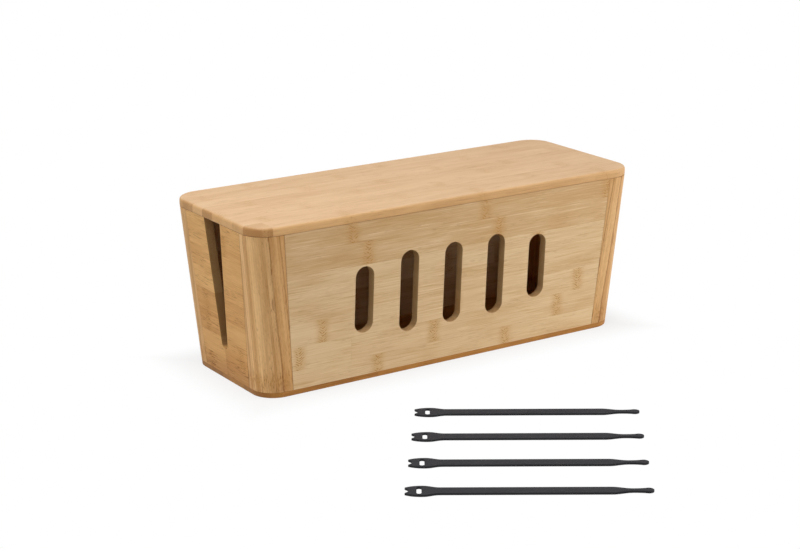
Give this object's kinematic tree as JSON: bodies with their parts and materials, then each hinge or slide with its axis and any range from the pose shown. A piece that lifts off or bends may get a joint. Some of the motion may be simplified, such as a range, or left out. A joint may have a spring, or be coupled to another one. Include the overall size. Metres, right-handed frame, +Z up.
{
  "type": "cable management box",
  "caption": "Bamboo box with outward-leaning walls, ventilation slots in front and a cable notch at each end, under a lift-off lid, with loose fabric cable ties beside it.",
  "frame": {"origin": "centre of the base board's underside, on the surface that the box stands on", "axes": "+X along the box, +Y from the slotted front to the back, +Z up"},
  "size_m": [0.4303, 0.508, 0.1645],
  "materials": {
    "bamboo_lid": "satin clear lacquer",
    "bamboo_cleat": "satin clear lacquer",
    "bamboo_base": "satin clear lacquer",
    "bamboo_panel": "satin clear lacquer",
    "bamboo_end": "satin clear lacquer",
    "bamboo_post": "satin clear lacquer",
    "tie_fabric": "matt napped weave"
  },
  "bodies": {
    "box": {"base_board": "bamboo_base", "front_panel": "bamboo_panel", "back_panel": "bamboo_panel", "left_end_panel": "bamboo_end", "right_end_panel": "bamboo_end", "front_left_post": "bamboo_post", "front_right_post": "bamboo_post", "back_left_post": "bamboo_post", "back_right_post": "bamboo_post"},
    "lid": {"lid": "bamboo_lid", "lid_cleat_left": "bamboo_cleat", "lid_cleat_right": "bamboo_cleat"},
    "cable_tie_1": {"cable_tie_1": "tie_fabric"},
    "cable_tie_2": {"cable_tie_2": "tie_fabric"},
    "cable_tie_3": {"cable_tie_3": "tie_fabric"},
    "cable_tie_4": {"cable_tie_4": "tie_fabric"}
  },
  "joints": [
    {"name": "lid_lift", "type": "slide", "parent": "box", "child": "lid", "axis": [0, 0, 1], "range_m": [0, 0.2]},
    {"name": "cable_tie_1_lift", "type": "slide", "parent": "box", "child": "cable_tie_1", "axis": [0, 0, 1], "range_m": [0, 0.1]},
    {"name": "cable_tie_2_lift", "type": "slide", "parent": "box", "child": "cable_tie_2", "axis": [0, 0, 1], "range_m": [0, 0.1]},
    {"name": "cable_tie_3_lift", "type": "slide", "parent": "box", "child": "cable_tie_3", "axis": [0, 0, 1], "range_m": [0, 0.1]},
    {"name": "cable_tie_4_lift", "type": "slide", "parent": "box", "child": "cable_tie_4", "axis": [0, 0, 1], "range_m": [0, 0.1]}
  ]
}
